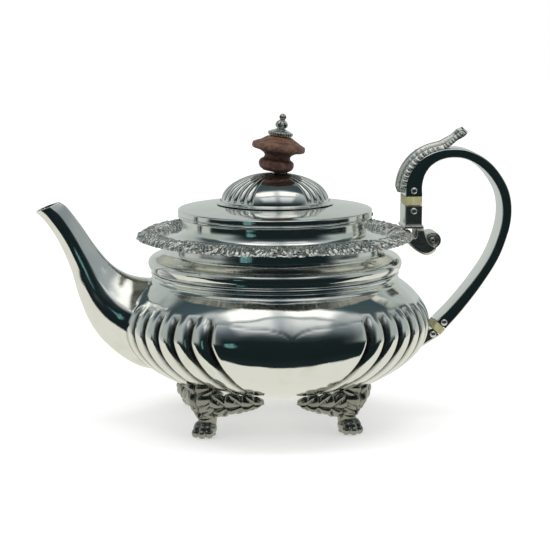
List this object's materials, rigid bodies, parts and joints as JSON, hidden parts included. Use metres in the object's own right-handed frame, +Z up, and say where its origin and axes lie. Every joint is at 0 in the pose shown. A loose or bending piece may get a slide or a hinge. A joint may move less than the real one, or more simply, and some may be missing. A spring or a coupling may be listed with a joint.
{
  "type": "teapot",
  "caption": "Silver teapot with a lobed round bowl on paw feet, a scalloped collar, a hinged domed lid with a wooden knob, a swan-neck spout and an insulated loop handle.",
  "frame": {"origin": "on the table under the middle of the pot, halfway between the spout's lip and the handle's back", "axes": "+Z up, +X from the spout to the handle, +Y to the side away from the viewer"},
  "size_m": [0.2786, 0.181, 0.1818],
  "materials": {
    "silver": "polished silver, lightly worn",
    "cast_silver": "cast and chased silver, oxidised in the recesses",
    "fruitwood": "turned wood, dry and worn",
    "ivory": "aged ivory, semi-gloss"
  },
  "bodies": {
    "pot": {"bowl": "silver", "neck_ring": "silver", "neck_band": "silver", "collar": "silver", "spout": "silver", "handle": "silver", "hinge_leaf_pot": "silver", "hinge_pin": "silver", "pin_upper_handle": "silver", "pin_upper_socket": "silver", "pin_lower_handle": "silver", "pin_lower_socket": "silver", "collar_border": "cast_silver", "thumb_leaf": "cast_silver", "socket_upper": "cast_silver", "socket_lower": "cast_silver", "scroll_bracket": "cast_silver", "foot_1": "cast_silver", "foot_2": "cast_silver", "foot_3": "cast_silver", "foot_4": "cast_silver", "insulator_upper": "ivory", "insulator_lower": "ivory"},
    "lid": {"lid_plate": "silver", "lid_bezel": "silver", "lid_dome": "silver", "dome_moulding": "silver", "knob": "fruitwood", "finial": "cast_silver", "knob_nut": "silver", "knob_washer": "silver", "hinge_knuckle_lid": "silver"}
  },
  "joints": [
    {"name": "lid_hinge", "type": "hinge", "parent": "pot", "child": "lid", "pos_m": [0.0552, 0, 0.123], "axis": [0, 1, 0], "range_deg": [0, 80]}
  ]
}
